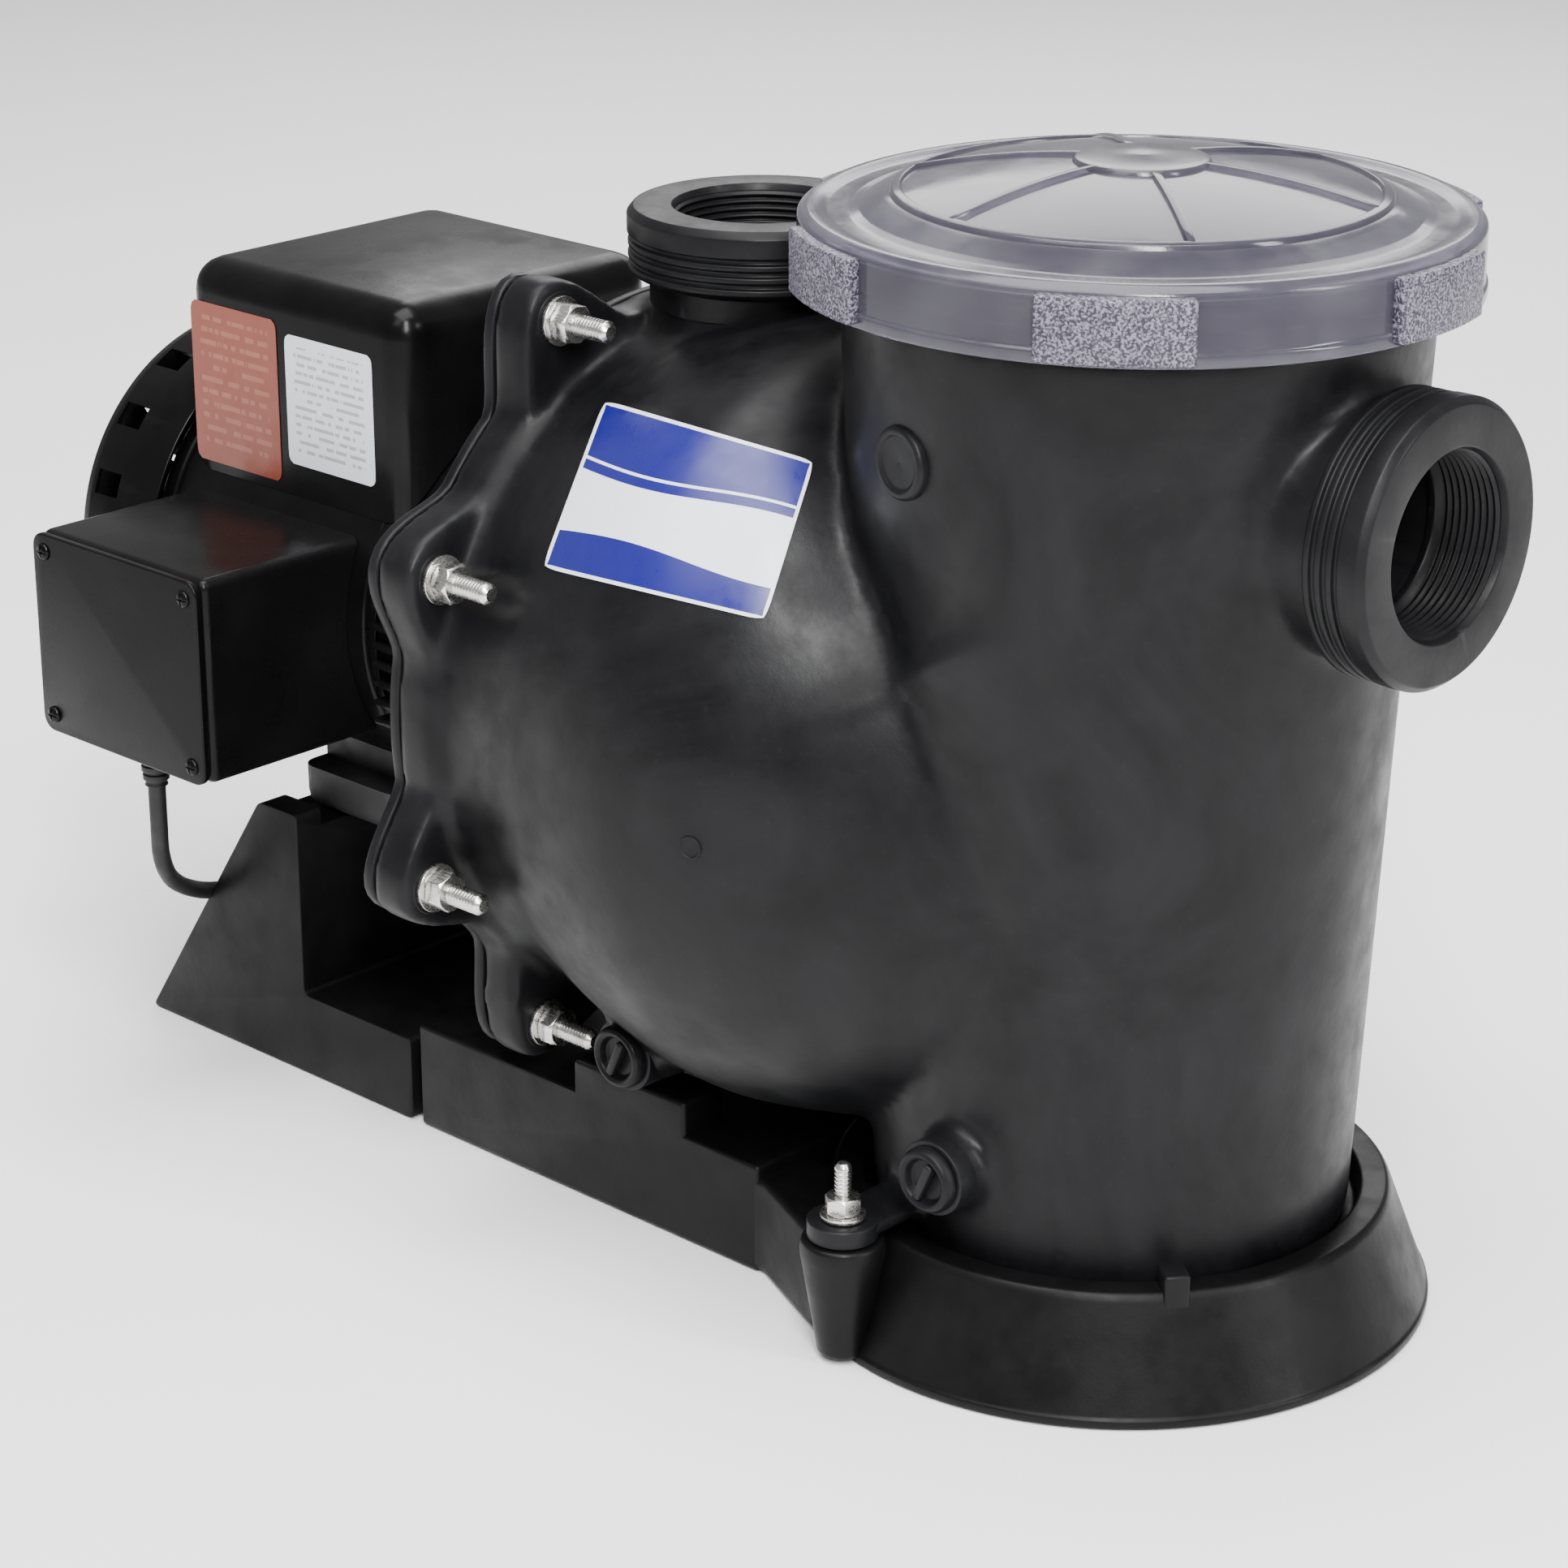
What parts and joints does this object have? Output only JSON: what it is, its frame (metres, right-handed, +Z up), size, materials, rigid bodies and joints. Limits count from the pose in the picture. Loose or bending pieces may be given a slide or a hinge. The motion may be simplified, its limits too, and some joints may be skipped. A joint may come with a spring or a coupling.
{
  "type": "pool pump",
  "caption": "Moulded pool pump with a clear twist-off lid over a lift-out strainer basket, threaded suction and discharge ports, and a fan-cooled motor on a moulded base.",
  "frame": {"origin": "on the floor, under the middle of the pump's length and width", "axes": "+X along the shaft from the motor to the suction port, +Z up through the discharge port, -Y the side with the junction box and the drain plugs"},
  "size_m": [0.6154, 0.3966, 0.408],
  "materials": {
    "charcoal_plastic": "satin, moulded, with soft flow marks",
    "base_plastic": "fine-grained moulded plastic",
    "clear_lid": "clear moulded polycarbonate with a smoky tint",
    "white_plastic": "moulded",
    "grey_plastic": "moulded",
    "black_paint": "semi-gloss black paint",
    "black_plastic": "moulded",
    "stainless": "bright stainless",
    "core_steel": "machined steel",
    "copper": "varnished copper wire",
    "brass": "bright",
    "rubber": "dull",
    "ceramic": "lapped",
    "volute_label": "printed film, blue bands on white",
    "red_label": "printed film",
    "white_label": "printed film"
  },
  "bodies": {
    "pump": {"box_label_red": "red_label", "box_label_white": "white_label", "capacitor_box": "black_paint", "cord_coil": "rubber", "cord_strain_relief": "rubber", "cord_tie": "black_plastic", "diffuser": "grey_plastic", "drive_end_bell": "black_paint", "fan_end_bell": "black_paint", "fan_shroud": "black_paint", "flange_bolt_1": "stainless", "flange_bolt_2": "stainless", "flange_bolt_3": "stainless", "flange_bolt_4": "stainless", "flange_bolt_5": "stainless", "flange_bolt_6": "stainless", "flange_bolt_7": "stainless", "flange_bolt_8": "stainless", "front_bearing": "core_steel", "junction_box": "black_paint", "junction_cover": "black_paint", "junction_screw_1": "black_paint", "junction_screw_2": "black_paint", "junction_screw_3": "black_paint", "junction_screw_4": "black_paint", "motor_foot": "rubber", "motor_shell": "black_paint", "motor_stand": "base_plastic", "plug_blade_1": "brass", "plug_blade_2": "brass", "plug_ground_pin": "brass", "pot_stud_1": "stainless", "pot_stud_2": "stainless", "power_cord": "rubber", "power_cord_tail": "rubber", "power_plug": "rubber", "pump_base": "base_plastic", "pump_housing": "charcoal_plastic", "rear_bearing": "core_steel", "run_capacitor": "grey_plastic", "seal_plate": "charcoal_plastic", "seal_plate_gasket": "rubber", "shaft_seal_seat": "ceramic", "start_capacitor": "grey_plastic", "stator_core": "core_steel", "volute_label": "volute_label", "winding_front": "copper", "winding_rear": "copper"},
    "rotor": {"motor_shaft": "stainless", "rotor_core": "core_steel", "impeller": "grey_plastic", "impeller_screw": "stainless", "cooling_fan": "black_plastic", "shaft_slinger": "rubber", "shaft_seal_head": "stainless"},
    "seal_ring": {"lid_seal": "rubber"},
    "lid": {"lid": "clear_lid"},
    "basket": {"strainer_basket": "white_plastic"},
    "pot_drain": {"pot_drain_plug": "charcoal_plastic"},
    "volute_drain": {"volute_drain_plug": "charcoal_plastic"}
  },
  "joints": [
    {"name": "rotor_spin", "type": "hinge", "parent": "pump", "child": "rotor", "pos_m": [-0.1207, 0, 0.19], "axis": [1, 0, 0], "continuous": true},
    {"name": "lid_lift", "type": "slide", "parent": "pump", "child": "seal_ring", "axis": [0, 0, 1], "range_m": [0, 0.4]},
    {"name": "lid_turn", "type": "hinge", "parent": "seal_ring", "child": "lid", "pos_m": [0.1793, 0, 0.38], "axis": [0, 0, 1], "range_deg": [0, 45]},
    {"name": "basket_lift", "type": "slide", "parent": "pump", "child": "basket", "axis": [0, 0, 1], "range_m": [0, 0.4]},
    {"name": "pot_drain_turn", "type": "hinge", "parent": "pump", "child": "pot_drain", "pos_m": [0.1813, -0.096, 0.074], "axis": [0, -1, 0], "range_deg": [0, 360]},
    {"name": "volute_drain_turn", "type": "hinge", "parent": "pump", "child": "volute_drain", "pos_m": [0.0333, -0.096, 0.073], "axis": [0, -1, 0], "range_deg": [0, 360]}
  ],
  "couplings": [
    {"joint": "basket_lift", "follows": "lid_lift", "ratio": 0.9}
  ]
}
